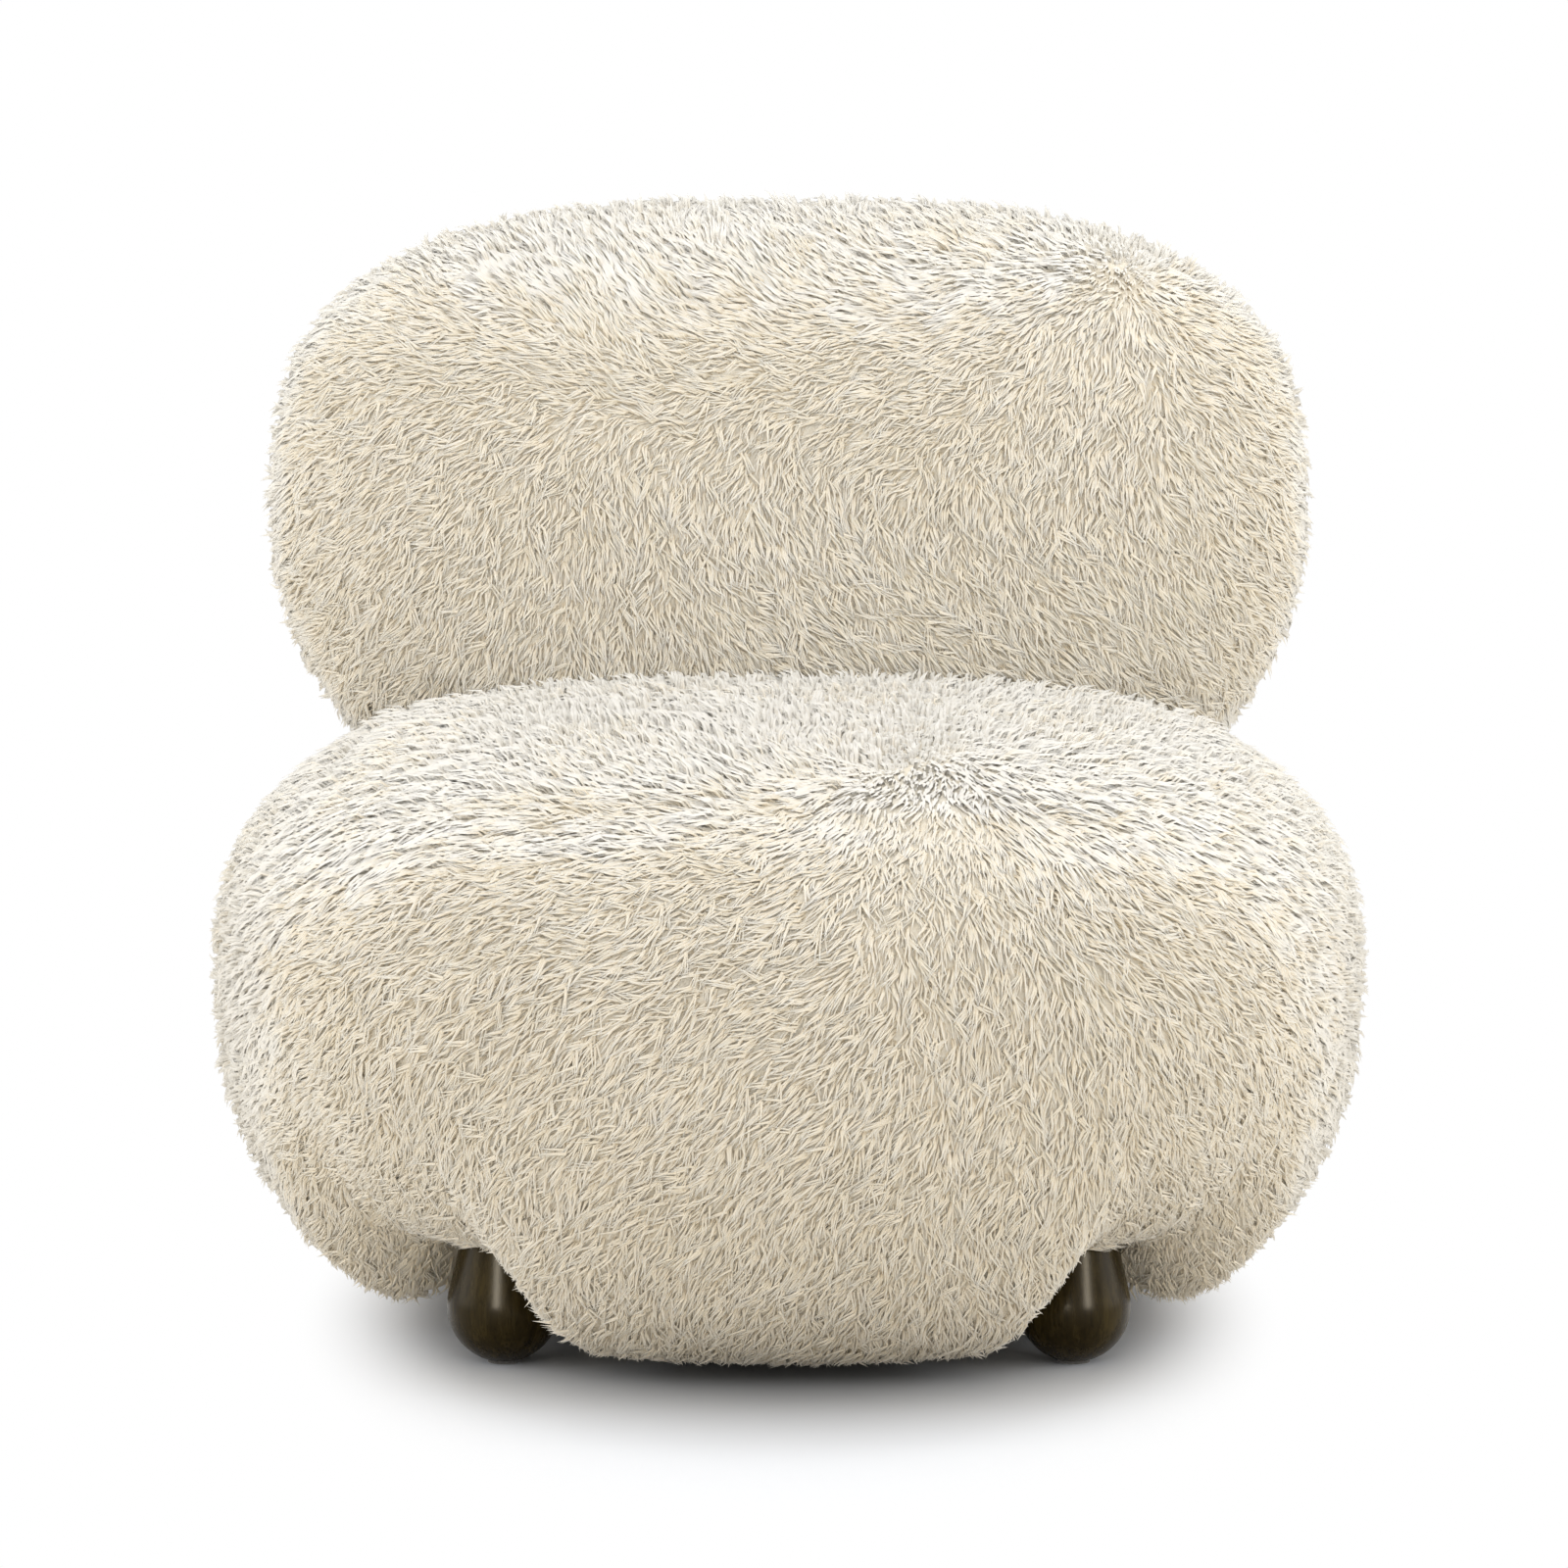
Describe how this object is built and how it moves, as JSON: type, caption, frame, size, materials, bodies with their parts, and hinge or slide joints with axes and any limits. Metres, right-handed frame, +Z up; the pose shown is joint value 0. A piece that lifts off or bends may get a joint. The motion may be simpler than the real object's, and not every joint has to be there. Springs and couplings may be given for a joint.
{
  "type": "upholstered slipper chair",
  "caption": "Armless fur-covered slipper chair: a wide round seat pinched in over short turned wooden legs, with a bean-shaped back roll standing on its rear.",
  "frame": {"origin": "middle of the footprint's bounding box, on the floor under the glides", "axes": "+Z up, -Y toward the front of the seat, +X toward the right in the picture"},
  "size_m": [0.866, 0.89, 0.83],
  "materials": {
    "fur": "matte",
    "leg_wood": "satin",
    "frame_wood": "matte",
    "plywood": "matte",
    "steel": "satin",
    "felt": "matte",
    "webbing": "matte",
    "firm_foam": "matte",
    "foam": "matte",
    "wadding": "matte",
    "dust_cloth": "matte"
  },
  "bodies": {
    "root": {"leg_front_left": "leg_wood", "leg_front_right": "leg_wood", "leg_rear_left": "leg_wood", "leg_rear_right": "leg_wood", "leg_bolts": "steel", "leg_tee_nuts": "steel", "leg_glides": "felt", "base_board": "plywood", "front_rail": "frame_wood", "rear_rail": "frame_wood", "left_rail": "frame_wood", "right_rail": "frame_wood", "corner_blocks": "frame_wood", "long_straps": "webbing", "cross_straps": "webbing", "deck_pad": "firm_foam", "seat_foam": "foam", "seat_wadding": "wadding", "seat_cover": "fur", "dust_cover": "dust_cloth", "back_post_left": "frame_wood", "back_post_right": "frame_wood", "back_bolts": "steel", "back_washers": "steel", "back_nuts": "steel", "back_top_rail": "frame_wood", "back_bottom_rail": "frame_wood", "back_panel": "plywood", "back_foam": "foam", "back_wadding": "wadding", "back_cover": "fur"}
  },
  "joints": []
}
